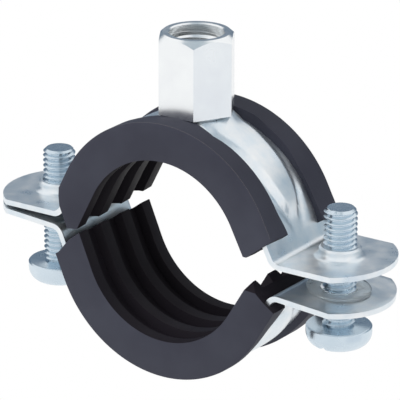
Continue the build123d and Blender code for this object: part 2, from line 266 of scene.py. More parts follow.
def merge_all():
    """In edit mode, merge the points that coincide and leave everything selected."""
    bpy.ops.mesh.select_all(action="SELECT")
    bpy.ops.mesh.remove_doubles(threshold=CLOSE)
    bpy.ops.mesh.select_all(action="SELECT")


def trace(name, points, close=True):
    """Draw an outline point by point, each edge pulled from the vertex before; ends in edit mode."""
    deselect()
    bpy.ops.mesh.primitive_plane_add(size=MM, location=(0, 0, 0))
    piece = bpy.context.object
    piece.name = name
    piece.data.name = name
    bpy.ops.object.mode_set(mode="EDIT")
    bpy.ops.mesh.select_mode(type="VERT")
    bpy.ops.mesh.select_all(action="SELECT")
    bpy.ops.mesh.merge(type="CENTER")
    bpy.ops.mesh.select_all(action="SELECT")
    bpy.ops.transform.translate(value=points[0])
    path = list(points) + ([points[0]] if close else [])
    for start, end in zip(path, path[1:]):
        bpy.ops.mesh.extrude_vertices_move(TRANSFORM_OT_translate={"value": Vector(end) - Vector(start)})
    bpy.ops.mesh.select_all(action="SELECT")
    if close:
        merge_all()
    return piece


def pull(shift, steps=1):
    """Extrude the selected edges, once or in equal steps, and leave the new ones selected."""
    for _ in range(steps):
        bpy.ops.mesh.extrude_edges_move(TRANSFORM_OT_translate={"value": shift})


def swing(angle, steps, centre=(0, 0, 0), axis=(0, 1, 0)):
    """Spin the selected outline about an axis by the right-hand rule and leave its new end selected."""
    bpy.ops.mesh.spin(steps=steps, angle=-angle, center=centre, axis=axis, use_auto_merge=False)


def close_up(piece):
    """Fill the open ends, merge what coincides and turn the faces outwards; leaves edit mode."""
    merge_all()
    bpy.ops.mesh.fill_holes(sides=0)
    bpy.ops.mesh.select_all(action="SELECT")
    bpy.ops.mesh.normals_make_consistent(inside=False)
    bpy.ops.object.mode_set(mode="OBJECT")
    return piece


def lathe(name, profile, steps=96):
    """Turn a profile of (radius, height) points, from the axis back to the axis, about Z."""
    piece = trace(name, [(radius, 0, height) for radius, height in profile], close=False)
    swing(2 * pi, steps, axis=(0, 0, 1))
    return close_up(piece)


def prism(name, outline, depth, plane="XZ"):
    """Closed prism: a front-view (XZ) or plan-view (XY) outline pulled both ways from the middle."""
    if plane == "XZ":
        points = [(x, -depth, z) for x, z in outline]
        shift = (0, 2 * depth, 0)
    else:
        points = [(x, y, -depth) for x, y in outline]
        shift = (0, 0, 2 * depth)
    piece = trace(name, points)
    pull(shift)
    return close_up(piece)


def modify(piece, kind, **settings):
    """Add a modifier with its settings and apply it."""
    activate(piece)
    modifier = piece.modifiers.new(kind, kind)
    for key, value in settings.items():
        setattr(modifier, key, value)
    bpy.ops.object.modifier_apply(modifier=modifier.name)


def combine(piece, other, operation):
    """Cut, join or intersect with another piece, which is used up."""
    modify(piece, "BOOLEAN", operation=operation, object=other, solver="EXACT")
    bpy.data.meshes.remove(other.data)


def soften(piece, width, segments=3, angle=30):
    """Round every edge that is sharper than the angle."""
    modify(
        piece,
        "BEVEL",
        width=width,
        segments=segments,
        limit_method="ANGLE",
        angle_limit=radians(angle),
        use_clamp_overlap=True,
        harden_normals=False,
        miter_outer="MITER_ARC",
    )


def tidy(piece, smooth_angle=30):
    """Merge doubles, clear slivers and shade smooth up to an angle."""
    edit(piece)
    merge_all()
    bpy.ops.mesh.dissolve_degenerate(threshold=CLOSE)
    bpy.ops.object.mode_set(mode="OBJECT")
    bpy.ops.object.shade_smooth_by_angle(angle=radians(smooth_angle))


def thread_root(crest, pitch):
    """Radius at the root of a 60 degree thread."""
    return crest - 0.6134 * pitch


def thread(name, crest, pitch, bottom, top, steps=48):
    """Rod with a 60 degree thread between two heights; the ends are cut square."""
    root = thread_root(crest, pitch)
    profile = (
        (root, 0.0),
        (root, 0.0625 * pitch),
        (crest - 0.03 * pitch, 0.42 * pitch),
        (crest, 0.45 * pitch),
        (crest, 0.5675 * pitch),
        (crest - 0.03 * pitch, 0.5975 * pitch),
        (root, 0.955 * pitch),
        (root, pitch),
    )
    start = bottom - 1.5 * pitch
    turns = int((top - bottom) / pitch) + 4
    piece = trace(name, [(radius, 0, start + height) for radius, height in profile], close=False)
    bpy.ops.object.mode_set(mode="OBJECT")
    modify(
        piece,
        "SCREW",
        axis="Z",
        angle=2 * pi,
        screw_offset=pitch,
        iterations=turns,
        steps=steps,
        render_steps=steps,
        use_merge_vertices=True,
        merge_threshold=CLOSE,
    )
    edit(piece)
    close_up(piece)
    for height, outwards in ((bottom, -1), (top, 1)):
        edit(piece)
        bpy.ops.mesh.select_all(action="SELECT")
        bpy.ops.mesh.bisect(
            plane_co=(0, 0, height),
            plane_no=(0, 0, outwards),
            use_fill=True,
            clear_outer=True,
            threshold=1e-8,
        )
        close_up(piece)
    return piece


def swung_open(clamp):
    """Swing of the lower half about the left-hand screw."""
    hinge = Matrix.Translation((-clamp.bands.screw_distance, 0, clamp.placing.hinge_height))
    return hinge @ Matrix.Rotation(clamp.placing.open_angle, 4, "Y")


def lower_place(clamp):
    """Turns a half that is drawn with its arc up into the place of the lower half."""
    over_hinge = Matrix.Translation((clamp.bands.screw_distance, 0, clamp.bands.ear_level))
    return swung_open(clamp) @ over_hinge @ Matrix.Rotation(pi, 4, "Y")


def put(piece, matrix):
    """Move a piece's mesh, leaving its object at the origin."""
    activate(piece)
    piece.matrix_world = matrix
    bpy.ops.object.transform_apply(location=True, rotation=True, scale=True)


def drill(piece, radius, depth, place, steps=64):
    """Cut a round upright hole; the depth is shared above and below the place."""
    deselect()
    bpy.ops.mesh.primitive_cylinder_add(vertices=steps, radius=radius, depth=depth, location=place)
    hole = bpy.context.object
    put(hole, hole.matrix_world.copy())
    combine(piece, hole, "DIFFERENCE")


def dress(piece, material, body, node):
    """Give a finished piece its material, the body it rides on and the solid it stands for."""
    piece.data.materials.clear()
    piece.data.materials.append(material)
    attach(piece, body)
    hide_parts(node)


# ---------------------------------------------------------------- materials


def new_group(name, inputs, outputs):
    """Empty shader node group with named sockets."""
    group = bpy.data.node_groups.new(name, "ShaderNodeTree")
    for label, kind, default in inputs:
        socket = group.interface.new_socket(name=label, in_out="INPUT", socket_type=kind)
        socket.default_value = default
    for label, kind in outputs:
        group.interface.new_socket(name=label, in_out="OUTPUT", socket_type=kind)
    return group, group.nodes.new("NodeGroupInput"), group.nodes.new("NodeGroupOutput")


def add_node(tree, kind, values=None, **settings):
    """Add a node, set its properties and the defaults of its inputs by name or number."""
    node = tree.nodes.new(kind)
    for key, value in settings.items():
        setattr(node, key, value)
    for key, value in (values or {}).items():
        node.inputs[key].default_value = value
    return node


def cloud_group():
    """Soft clouds at two scales: a mask for colour and roughness, and fine grain for the height of a bump."""
    if "clouds_and_grain" in bpy.data.node_groups:
        return bpy.data.node_groups["clouds_and_grain"]
    group, start, end = new_group(
        "clouds_and_grain",
        (
            ("Vector", "NodeSocketVector", (0, 0, 0)),
            ("Cloud Scale", "NodeSocketFloat", 120.0),
            ("Grain Scale", "NodeSocketFloat", 2500.0),
            ("Contrast", "NodeSocketFloat", 1.0),
        ),
        (("Clouds", "NodeSocketFloat"), ("Grain", "NodeSocketFloat")),
    )
    clouds = add_node(group, "ShaderNodeTexNoise", {"Detail": 3.0, "Roughness": 0.55})
    grain = add_node(group, "ShaderNodeTexNoise", {"Detail": 2.0, "Roughness": 0.6})
    spread = add_node(group, "ShaderNodeMath", {1: 0.5}, operation="SUBTRACT")
    stretch = add_node(group, "ShaderNodeMath", operation="MULTIPLY")
    back = add_node(group, "ShaderNodeMath", {1: 0.5}, operation="ADD", use_clamp=True)
    link = group.links.new
    link(start.outputs["Vector"], clouds.inputs["Vector"])
    link(start.outputs["Vector"], grain.inputs["Vector"])
    link(start.outputs["Cloud Scale"], clouds.inputs["Scale"])
    link(start.outputs["Grain Scale"], grain.inputs["Scale"])
    link(clouds.outputs["Fac"], spread.inputs[0])
    link(spread.outputs[0], stretch.inputs[0])
    link(start.outputs["Contrast"], stretch.inputs[1])
    link(stretch.outputs[0], back.inputs[0])
    link(back.outputs[0], end.inputs["Clouds"])
    link(grain.outputs["Fac"], end.inputs["Grain"])
    return group


def new_material(name):
    """Material with only a Principled shader; returns it with its tree and shader."""
    material = bpy.data.materials.new(name)
    material.use_nodes = True
    tree = material.node_tree
    return material, tree, tree.nodes["Principled BSDF"]


def surface(name, light, dark, roughness, scales, bump, metallic=0.0):
    """Finish whose colour and roughness drift in clouds, with a fine grain in relief; returns its shader."""
    _, tree, shader = new_material(name)
    place = add_node(tree, "ShaderNodeTexCoord")
    mottle = {"Cloud Scale": scales[0], "Grain Scale": scales[1], "Contrast": 2.2}
    clouds = add_node(tree, "ShaderNodeGroup", mottle, node_tree=cloud_group())
    tint = add_node(tree, "ShaderNodeMix", {"A": (*dark, 1), "B": (*light, 1)}, data_type="RGBA")
    dull = add_node(tree, "ShaderNodeMapRange", {"To Min": roughness[0], "To Max": roughness[1]})
    relief = add_node(tree, "ShaderNodeBump", {"Strength": bump[0], "Distance": bump[1] * MM})
    link = tree.links.new
    link(place.outputs["Object"], clouds.inputs["Vector"])
    link(clouds.outputs["Clouds"], tint.inputs["Factor"])
    link(clouds.outputs["Clouds"], dull.inputs["Value"])
    link(clouds.outputs["Grain"], relief.inputs["Height"])
    link(tint.outputs["Result"], shader.inputs["Base Color"])
    link(dull.outputs["Result"], shader.inputs["Roughness"])
    link(relief.outputs["Normal"], shader.inputs["Normal"])
    shader.inputs["Metallic"].default_value = metallic
    return shader


def finishes(clamp):
    """The materials by name, made once: colours, range of roughness, cloud and grain scales, grain relief."""
    if "bright_zinc" in bpy.data.materials:
        return bpy.data.materials
    paint = clamp.colours
    surface("bright_zinc", paint.zinc, paint.zinc_blue, (0.26, 0.38), (320.0, 1400.0), (0.28, 0.03), 0.93)
    surface("nut_zinc", paint.nut_zinc, paint.nut_shade, (0.20, 0.28), (160.0, 2600.0), (0.06, 0.02), 1.0)
    surface("screw_zinc", paint.screw_zinc, paint.zinc_blue, (0.20, 0.30), (200.0, 2600.0), (0.05, 0.02), 1.0)
    for name, light, dark, roughness, gloss in (
        ("liner_rubber", paint.rubber_bloom, paint.rubber, (0.55, 0.72), 0.2),
        # Darker rubber for the seat and cut ends: painted shade
        ("seat_rubber_painted_shade", paint.seat_rubber_painted_shade, paint.seat_rubber_painted_shade, (0.5, 0.7), 0.12),
        # Paler rubber for the rounded outer edges: a painted highlight
        ("edge_rubber_painted_highlight", paint.rubber_edge_painted_highlight, paint.rubber_edge_painted_highlight, (0.5, 0.7), 0.12),
    ):
        rubber = surface(name, light, dark, roughness, (70.0, 3200.0), (0.25, 0.03))
        rubber.inputs["Specular IOR Level"].default_value = gloss
    clear = paint.plastic
    plastic = surface("clear_plastic", clear, clear, (0.10, 0.20), (200.0, 1500.0), (0.05, 0.02))
    plastic.inputs["Transmission Weight"].default_value = 0.85
    plastic.inputs["IOR"].default_value = 1.45
    return bpy.data.materials


# ---------------------------------------------------------------- bands


def ease(low, high, value):
    """0 below low, 1 above high, and a smooth rise between them."""
    part = min(max((value - low) / (high - low), 0.0), 1.0)
    return part * part * (3 - 2 * part)


def along(table, value):
    """Straight-line value between the rows of a (place, value) table."""
    for (start, low), (end, high) in zip(table, table[1:]):
        if value <= end:
            return low + (high - low) * max(value - start, 0) / (end - start)
    return table[-1][1]


def weigh(piece, name, weight):
    """Vertex group whose weights are a function of place."""
    group = piece.vertex_groups.new(name=name)
    for vertex in piece.data.vertices:
        amount = weight(vertex.co)
        if amount > 0.0005:
            group.add([vertex.index], amount, "REPLACE")
    return group.name


def bead_weight(band, place):
    """Share of the bead's height that the sheet rises here: a broad crown, and a low ridge beside it."""
    angle = abs(atan2(place.x, place.z))
    width = abs(place.y)
    foot = along(BEAD_FEET, degrees(angle)) * MM
    across = 0.75 * (1 - ease(0.6 * foot, foot, width)) + 0.25 * max(1 - (place.y / foot) ** 2, 0.0)
    end = pi / 2 - band.bead_end
    crown = across * (1 - ease(end - BEAD_FADE, end, angle))
    ridge = ease(foot, foot + 2.2 * MM, width) * (1 - ease(7 * MM, 9 * MM, width)) * ease(0.5, 0.8, angle)
    return crown + 0.4 * ridge * (1 - ease(1.25, 1.4, angle))


def pad_weight(band, place):
    """How far the sheet rises here to reach the pad, as a share of PAD_RISE: a flat top on a blunt cone."""
    if place.z < 0.6 * (band.inner_radius + band.sheet):
        return 0.0
    reach = hypot(place.x, place.y)
    slope = (band.pad_top - band.pad_foot_height) / (band.pad_foot_radius - band.pad_top_radius)
    height = band.pad_top - slope * max(reach - band.pad_top_radius, 0.0)
    near_edge = ease(band.pad_top_radius - 1.2 * MM, band.pad_top_radius + 1.2 * MM, reach)
    height -= 0.35 * MM * near_edge * (1 - near_edge) * 4
    side = 1 - ease(band.pad_half_width - 0.35 * MM, band.pad_half_width + 0.1 * MM, abs(place.y))
    gap = height - place.z
    fillet = 0.5 * MM
    return (gap + hypot(gap, fillet)) / 2 * side / (PAD_RISE * MM)


def flat_strip(name, band):
    """Outer face of a half band without its pressings, pulled and swung from one ear's tip to the other's."""
    outer = band.inner_radius + band.sheet
    top = band.ear_level + band.sheet
    corner = (outer - top * sin(STRAIGHT)) / cos(STRAIGHT)
    bent = pi / 2 - STRAIGHT
    back_off = band.bend * tan(bent / 2)
    bend_end = corner + back_off
    bend_start = (corner - back_off * sin(STRAIGHT), top + back_off * cos(STRAIGHT))
    arc_end = (outer * cos(STRAIGHT), outer * sin(STRAIGHT))
    run = (arc_end[0] - bend_start[0], arc_end[1] - bend_start[1])

    # Columns across the strip, close together where bead and pad are pressed
    fine = band.pad_half_width + 0.2 * MM
    edge = [-band.half_width + (band.half_width - fine) * index / 5 for index in range(5)]
    columns = edge + [fine * (index - 18) / 18 for index in range(37)] + [-y for y in reversed(edge)]
    tip = -band.ear_tip - 0.5 * MM
    piece = trace(name, [(tip, y, top) for y in columns], close=False)
    # Left ear, bend and straight run, arc over the pipe, and the same down to the right
    pull(((-bend_end - tip) / 8, 0, 0), 8)
    swing(-bent, 12, (-bend_end, 0, top + band.bend))
    pull((-run[0] / 6, 0, run[1] / 6), 6)
    swing(ARC, 110)
    pull((-run[0] / 6, 0, -run[1] / 6), 6)
    swing(-bent, 12, (bend_end, 0, top + band.bend))
    pull(((-bend_end - tip) / 8, 0, 0), 8)
    merge_all()
    bpy.ops.mesh.normals_make_consistent(inside=False)
    bpy.ops.object.mode_set(mode="OBJECT")
    if piece.data.polygons[len(piece.data.polygons) // 2].normal.z < 0:
        edit(piece)
        bpy.ops.mesh.select_all(action="SELECT")
        bpy.ops.mesh.flip_normals()
        bpy.ops.object.mode_set(mode="OBJECT")
    return piece


def pressed_sheet(name, band, has_pad):
    """Half band with its bead, and its pad where it has one, pressed out and given its thickness."""
    piece = flat_strip(name, band)
    bead = weigh(piece, "bead", lambda place: bead_weight(band, place))
    modify(piece, "DISPLACE", direction="NORMAL", strength=band.bead_height, mid_level=0.0, vertex_group=bead)
    if has_pad:
        pad = weigh(piece, "pad", lambda place: pad_weight(band, place))
        modify(piece, "DISPLACE", direction="Z", strength=PAD_RISE * MM, mid_level=0.0, vertex_group=pad)
    modify(piece, "SOLIDIFY", thickness=band.sheet, offset=-1.0, use_even_offset=True)
    edit(piece)
    return close_up(piece)


def ear_outline(band):
    """Plan view of the whole strip: parallel edges, blunt corners and an arc at each end."""
    drop = band.ear_tip - band.ear_corner
    radius = (drop * drop + band.half_width**2) / (2 * drop)
    sweep = atan2(band.half_width, radius - drop)
    points = []
    for side in (1, -1):
        for step in range(25):
            angle = sweep * (1 - step / 12)
            x = band.ear_tip - radius + radius * cos(angle)
            points.append((side * x, -side * radius * sin(angle)))
    return points


def collar(band, top):
    """Drawn collar standing on an ear, splayed at its foot and still without its bore."""
    radius, root = band.collar_radius, band.collar_root
    outline = [(0, top - 0.5 * band.sheet), (radius + root, top - 0.5 * band.sheet)]
    for step in range(9):
        angle = pi / 2 * step / 8
        outline.append((radius + root * (1 - sin(angle)), top - 0.02 * MM + root * (1 - cos(angle))))
    rim = 0.35 * MM
    outline += [
        (radius, top + band.collar_height - rim),
        (radius - rim, top + band.collar_height),
        (0, top + band.collar_height),
    ]
    return lathe("collar", outline, 64)


def half_band(name, clamp, has_pad):
    """One half band, arc upwards: the upper one has pad and collars, the lower one plain holes."""
    band = clamp.bands
    piece = pressed_sheet(name, band, has_pad)
    combine(piece, prism("ear_trim", ear_outline(band), 60 * MM, "XY"), "INTERSECT")
    top = band.ear_level + band.sheet
    for x in (-band.screw_distance, band.screw_distance):
        if has_pad:
            drawn = collar(band, top)
            put(drawn, Matrix.Translation((x, 0, 0)))
            combine(piece, drawn, "UNION")
        drill(piece, band.collar_bore if has_pad else band.plain_hole, 10 * MM, (x, 0, top))
    soften(piece, band.edge, 2, 40)
    return piece


class PIPECLAMP_OT_bands(bpy.types.Operator):
    """Models the two pressed half bands with their bead, pad, ears, collars and holes"""

    bl_idname = "pipeclamp.bands"
    bl_label = "Half bands"

    def execute(self, context):
        clamp = context.scene.pipe_clamp
        zinc = finishes(clamp)["bright_zinc"]
        for name, node, body, has_pad in (
            ("pressed_upper_band", "upper_band", "upper_half", True),
            ("pressed_lower_band", "lower_band", "lower_half", False),
        ):
            piece = half_band(name, clamp, has_pad)
            if not has_pad:
                put(piece, lower_place(clamp))
            tidy(piece, 35)
            dress(piece, zinc, body, node)
        return {"FINISHED"}


# ---------------------------------------------------------------- liners


def liner_section(liner, band, bevel):
    """Closed outline across the liner as (radius, y) points, from the front rim round the lips and back."""
    outer = band.inner_radius + band.sheet
    lip_lean = liner.lip_flank * (liner.lip_radius - outer) / MM
    half = [
        (liner.seat_radius, liner.half_width),
        (liner.lip_radius - liner.bevel_rise * bevel, liner.half_width),
        (liner.lip_radius, liner.half_width - liner.bevel_run * bevel),
        (liner.lip_radius, liner.lip_edge + lip_lean),
        (outer, liner.lip_edge),
        (outer, band.half_width),
        (band.inner_radius, band.half_width),
    ]
    section = half + [(radius, -y) for radius, y in reversed(half)]
    rim = liner.half_width - liner.rim_width
    rib_near = liner.rib_centre - liner.rib_half_width
    rib_far = liner.rib_centre + liner.rib_half_width
    floor = liner.seat_radius + liner.groove_depth
    for start, end in ((-rim, -rib_far), (-rib_near, rib_near), (rib_far, rim)):
        section += [
            (liner.seat_radius, start),
            (floor, start + liner.groove_draft),
            (floor, end - liner.groove_draft),
            (liner.seat_radius, end),
        ]
    return section


def shape_lips(piece, liner, band, near_left, near_right, far):
    """Move the lips' upper inner edges in and out across the band, as they lie against nut and bead."""
    edge = liner.lip_edge + liner.lip_flank * (liner.lip_radius - band.inner_radius - band.sheet) / MM

    def shift(place):
        height = hypot(place.x, place.z)
        if place.z < abs(place.x) * tan(STRAIGHT):
            height = abs(place.x) * cos(STRAIGHT) + place.z * sin(STRAIGHT)
        if abs(height - liner.lip_radius) > 0.1 * MM or abs(abs(place.y) - edge) > 0.1 * MM:
            return 0.0
        angle = degrees(abs(atan2(place.x, place.z)))
        if place.y > 0:
            return -along(far, angle)
        return along(near_left if place.x < 0 else near_right, angle)

    for name, sign in (("lips_back", 1), ("lips_forward", -1)):
        group = weigh(piece, name, lambda place: max(sign * shift(place), 0.0) / LIP_REACH)
        strength = sign * LIP_REACH * MM
        modify(piece, "DISPLACE", direction="Y", strength=strength, mid_level=0.0, vertex_group=group)


def half_liner(name, clamp, bevel, lips, *ends):
    """One rubber liner, arc upwards.

    The lips' tables are for the near side's left, its right and the far side. Each end cut has an outline,
    a lean and a reach along the pipe.
    """
    liner = clamp.liners
    reach = LINER_REACH * MM
    tangent = Vector((-sin(STRAIGHT), 0, -cos(STRAIGHT)))
    out = Vector((-cos(STRAIGHT), 0, sin(STRAIGHT)))
    section = liner_section(liner, clamp.bands, bevel)
    piece = trace(name, [out * radius + Vector((0, y, 0)) + tangent * reach for radius, y in section])
    pull(tangent * reach / -10, 10)
    swing(ARC, 120)
    pull(Vector((-tangent.x, 0, tangent.z)) * reach / 10, 10)
    close_up(piece)
    shape_lips(piece, liner, clamp.bands, *lips)
    for end, lean, (near, far) in ends:
        outline = [(x * MM, z * MM) for x, z in end]
        outline += [(end[-1][0] * MM, -reach), (end[0][0] * MM, -reach)]
        cutter = prism("end_cut", outline, (far - near) / 2 * MM)
        middle = Matrix.Translation((0, (near + far) / 2 * MM, 0))
        put(cutter, Matrix.Rotation(radians(lean), 4, "X") @ middle)
        combine(piece, cutter, "DIFFERENCE")
    soften(piece, liner.softness, 3, 25)
    return piece


def is_in_painted_shade(centre, normal, liner):
    """Whether a face, seen with the arc upwards, is in the seat or on a cut end, which get the darker rubber
    as painted shade.
    """
    inside = hypot(centre.x, centre.z) < liner.seat_radius + liner.groove_depth + 1.2 * MM
    return (inside or normal.z < -0.35) and abs(centre.y) < liner.half_width - 0.1 * MM


def is_outer_edge(centre, normal, liner):
    """Whether a face is on the rounded edge between a broad face and the lips, which gets the paler rubber as
    a painted highlight.
    """
    outside = abs(centre.y) > liner.half_width - 0.5 * MM and centre.z > 7 * MM
    return outside and hypot(centre.x, centre.z) > liner.lip_radius - 1.2 * MM and 0.12 < abs(normal.y) < 0.9


def paint_faces(piece, material, test, place):
    """Give the faces that the test picks a further material; the test sees them with the arc upwards."""
    back = place.inverted()
    turned = back.to_3x3()
    piece.data.materials.append(material)
    edit(piece)
    pick_faces(piece, lambda centre, normal: test(back @ centre, turned @ normal))
    piece.active_material_index = len(piece.data.materials) - 1
    bpy.ops.object.material_slot_assign()
    bpy.ops.object.mode_set(mode="OBJECT")


class PIPECLAMP_OT_liners(bpy.types.Operator):
    """Models the rubber liners: ribbed seat, broad faces and lips hooked over the bands"""

    bl_idname = "pipeclamp.liners"
    bl_label = "Rubber liners"

    def execute(self, context):
        clamp = context.scene.pipe_clamp
        rubber = finishes(clamp)["liner_rubber"]
        upper = half_liner(
            "ribbed_upper_liner",
            clamp,
            UPPER_BEVEL,
            (NEAR_LIP, NEAR_LIP, FAR_LIP),
            (UPPER_LEFT_END, UPPER_LEFT_LEAN, WHOLE_WIDTH),
            (UPPER_RIGHT_END, UPPER_RIGHT_LEAN, WHOLE_WIDTH),
        )
        lower = half_liner(
            "ribbed_lower_liner",
            clamp,
            LOWER_BEVEL,
            (LOWER_NEAR_LIP, STRAIGHT_LIP, LOWER_FAR_LIP),
            (LOWER_RIGHT_END, LOWER_RIGHT_LEAN, WHOLE_WIDTH),
            (LOWER_RIGHT_FACE, LOWER_RIGHT_FACE_LEAN, NEAR_FACE),
            (LOWER_LEFT_END, LOWER_LEFT_LEAN, WHOLE_WIDTH),
        )
        down = lower_place(clamp)
        put(lower, down)
        for piece, half, place in ((upper, "upper", Matrix.Identity(4)), (lower, "lower", down)):
            tidy(piece, 30)
            dress(piece, rubber, half + "_half", half + "_liner")
            # The seat and the cut ends take the darker rubber as painted shade; the rounded outer edges take
            # the paler rubber as a painted highlight
            for material, test in (("seat_rubber_painted_shade", is_in_painted_shade), ("edge_rubber_painted_highlight", is_outer_edge)):
                paint_faces(
                    piece,
                    bpy.data.materials[material],
                    lambda centre, normal: test(centre, normal, clamp.liners),
                    place,
                )
        return {"FINISHED"}


# ---------------------------------------------------------------- nut, screws and washers


def hexagon(nut):
    """Hexagon bar with its upper corners broken by a shallow cone."""
    middle = (nut.nut_top + nut.nut_bottom) / 2
    corner = nut.nut_flats / 2 / cos(radians(30))
    deselect()
    bpy.ops.mesh.primitive_cylinder_add(
        vertices=6, radius=corner, depth=nut.nut_top - nut.nut_bottom, location=(0, 0, middle)
    )
    piece = bpy.context.object
    piece.name = piece.data.name = "hexagon_nut"
    put(piece, piece.matrix_world @ Matrix.Rotation(radians(30), 4, "Z"))
    shaped = (
        (0, nut.nut_bottom - MM),
        (corner + 0.01 * MM, nut.nut_bottom - MM),
        (corner + 0.01 * MM, nut.nut_top - nut.nut_corner_drop),
        (nut.nut_ring, nut.nut_top),
        (nut.nut_ring, nut.nut_top + 0.001 * MM),
        (0, nut.nut_top + 0.001 * MM),
    )
    combine(piece, lathe("corner_cone", shaped, 96), "INTERSECT")
    return piece


def mouth_cutter(nut):
    """Countersink, plain bore and a cone down to the core of the upper thread."""
    core = thread_root(nut.rod_radius, nut.rod_pitch)
    throat_end = nut.nut_top - nut.nut_throat_depth
    outline = (
        (0, throat_end - (nut.nut_throat - core)),
        (core, throat_end - (nut.nut_throat - core)),
        (nut.nut_throat, throat_end),
        (nut.nut_throat, nut.nut_top - (nut.nut_mouth - nut.nut_throat)),
        (nut.nut_mouth, nut.nut_top),
        (nut.nut_mouth, nut.nut_top + MM),
        (0, nut.nut_top + MM),
    )
    return lathe("mouth_cone", outline, 96)


def weld_ring(nut, pad_top):
    """Upset ring between the nut and the pad, open in the middle."""
    radius, inside = nut.weld_radius, nut.nut_bottom + 0.2 * MM
    ring = lathe("weld_ring", ((0, pad_top), (radius, pad_top), (radius, inside), (0, inside)), 64)
    drill(ring, thread_root(nut.small_rod_radius, nut.small_rod_pitch), 4 * MM, (0, 0, nut.nut_bottom), 48)
    return ring


class PIPECLAMP_OT_nut(bpy.types.Operator):
    """Models the hexagon connection nut with its two internal threads and weld ring"""

    bl_idname = "pipeclamp.nut"
    bl_label = "Connection nut"

    def execute(self, context):
        clamp = context.scene.pipe_clamp
        nut = clamp.fasteners
        piece = hexagon(nut)
        step = nut.nut_top - nut.rod_depth
        rod = thread("rod_thread", nut.rod_radius, nut.rod_pitch, step, nut.nut_top + MM, 64)
        combine(piece, rod, "DIFFERENCE")
        below = nut.nut_bottom - MM
        rod = thread("small_rod_thread", nut.small_rod_radius, nut.small_rod_pitch, below, step + MM)
        combine(piece, rod, "DIFFERENCE")
        combine(piece, mouth_cutter(nut), "DIFFERENCE")
        combine(piece, weld_ring(nut, clamp.bands.pad_top), "UNION")
        soften(piece, 0.10 * MM, 2, 40)
        tidy(piece, 32)
        dress(piece, finishes(clamp)["nut_zinc"], "upper_half", "connection_nut")
        return {"FINISHED"}


def rectangle(half_x, half_y):
    """Corners of a rectangle round the middle."""
    return ((half_x, half_y), (half_x, -half_y), (-half_x, -half_y), (-half_x, half_y))


def pan_head(nut, bearing):
    """Pan head hanging below its bearing face, with a slot right across and a cross recess."""
    crown = bearing - nut.head_height
    outline = [(0, crown), (nut.head_crown, crown)]
    reach = nut.head_radius - nut.head_crown
    rise = nut.head_height - nut.head_rim
    for step in range(1, 13):
        angle = pi / 2 * step / 12
        outline.append((nut.head_crown + reach * sin(angle), crown + rise * (1 - cos(angle))))
    broken = 0.25 * MM
    outline += [(nut.head_radius, bearing - broken), (nut.head_radius - broken, bearing), (0, bearing)]
    head = lathe("pan_head", outline, 96)
    long, short = nut.cross_length / 2, nut.cross_width / 2
    for recess, depth in (
        (rectangle(nut.head_radius * 1.1, nut.slot_width / 2), nut.slot_depth),
        (rectangle(long, short), nut.cross_depth),
        (rectangle(short, long), nut.cross_depth),
    ):
        cutter = prism("recess", recess, depth, "XY")
        put(cutter, Matrix.Translation((0, 0, crown)))
        combine(head, cutter, "DIFFERENCE")
    soften(head, 0.12 * MM, 2, 40)
    return head


class PIPECLAMP_OT_screws(bpy.types.Operator):
    """Models the two locking screws, each with a real thread and a pan head below"""

    bl_idname = "pipeclamp.screws"
    bl_label = "Locking screws"

    def execute(self, context):
        clamp = context.scene.pipe_clamp
        sizes = clamp.fasteners
        for side, way, end in (("left", -1, sizes.left_end), ("right", 1, sizes.right_end)):
            bearing = end - sizes.screw_length
            crest = sizes.screw_radius
            piece = thread(side + "_threaded_screw", crest, sizes.screw_pitch, bearing - MM, end, 64)
            tip = crest - sizes.screw_point
            point = (
                (0, bearing - MM),
                (crest + 0.1 * MM, bearing - MM),
                (crest + 0.1 * MM, end - sizes.screw_point - 0.1 * MM),
                (tip, end),
                (tip, end + 0.001 * MM),
                (0, end + 0.001 * MM),
            )
            combine(piece, lathe("point_cone", point, 64), "INTERSECT")
            combine(piece, pan_head(sizes, bearing), "UNION")
            place = Matrix.Translation((way * clamp.bands.screw_distance, 0, 0))
            put(piece, place @ Matrix.Rotation(SCREW_TURNS[side], 4, "Z"))
            tidy(piece, 32)
            dress(piece, finishes(clamp)["screw_zinc"], side + "_screw", side + "_screw")
        return {"FINISHED"}


class PIPECLAMP_OT_washers(bpy.types.Operator):
    """Models the clear captive washers that lie on the lower ears"""

    bl_idname = "pipeclamp.washers"
    bl_label = "Captive washers"

    def execute(self, context):
        clamp = context.scene.pipe_clamp
        sizes = clamp.fasteners
        hole, rim, thickness = sizes.washer_hole, sizes.washer_radius, sizes.washer_thickness
        section = ((hole, 0, 0), (rim, 0, 0), (rim, 0, thickness), (hole, 0, thickness))
        for side, shift in (("left", 0.0), ("right", 2 * clamp.bands.screw_distance)):
            piece = trace(side + "_clear_washer", section)
            swing(2 * pi, 96, axis=(0, 0, 1))
            close_up(piece)
            soften(piece, 0.14 * MM, 3, 40)
            put(piece, swung_open(clamp) @ Matrix.Translation((shift, 0, 0)))
            tidy(piece, 32)
            plastic = finishes(clamp)["clear_plastic"]
            dress(piece, plastic, "lower_half", side + "_captive_washer")
        return {"FINISHED"}


# ---------------------------------------------------------------- stage


def area_lamp(name, place, target, size, power):
    """Square soft box that looks at a point."""
    lamp = bpy.data.lights.new(name, "AREA")
    lamp.size = size
    lamp.energy = power
    lamp_object = bpy.data.objects.new(name, lamp)
    lamp_object.location = place
    lamp_object.rotation_euler = (Vector(target) - Vector(place)).to_track_quat("-Z", "Y").to_euler()
    lamp_object.visible_glossy = False
    bpy.context.collection.objects.link(lamp_object)


def seen_directly(tree):
    """Output that is 1 for the eye, for reflections and through glass, and 0 for light that bounces on."""
    path = add_node(tree, "ShaderNodeLightPath")
    first = add_node(tree, "ShaderNodeMath", operation="MAXIMUM")
    second = add_node(tree, "ShaderNodeMath", operation="MAXIMUM")
    tree.links.new(path.outputs["Is Camera Ray"], first.inputs[0])
    tree.links.new(path.outputs["Is Glossy Ray"], first.inputs[1])
    tree.links.new(first.outputs[0], second.inputs[0])
    tree.links.new(path.outputs["Is Transmission Ray"], second.inputs[1])
    return second.outputs[0]


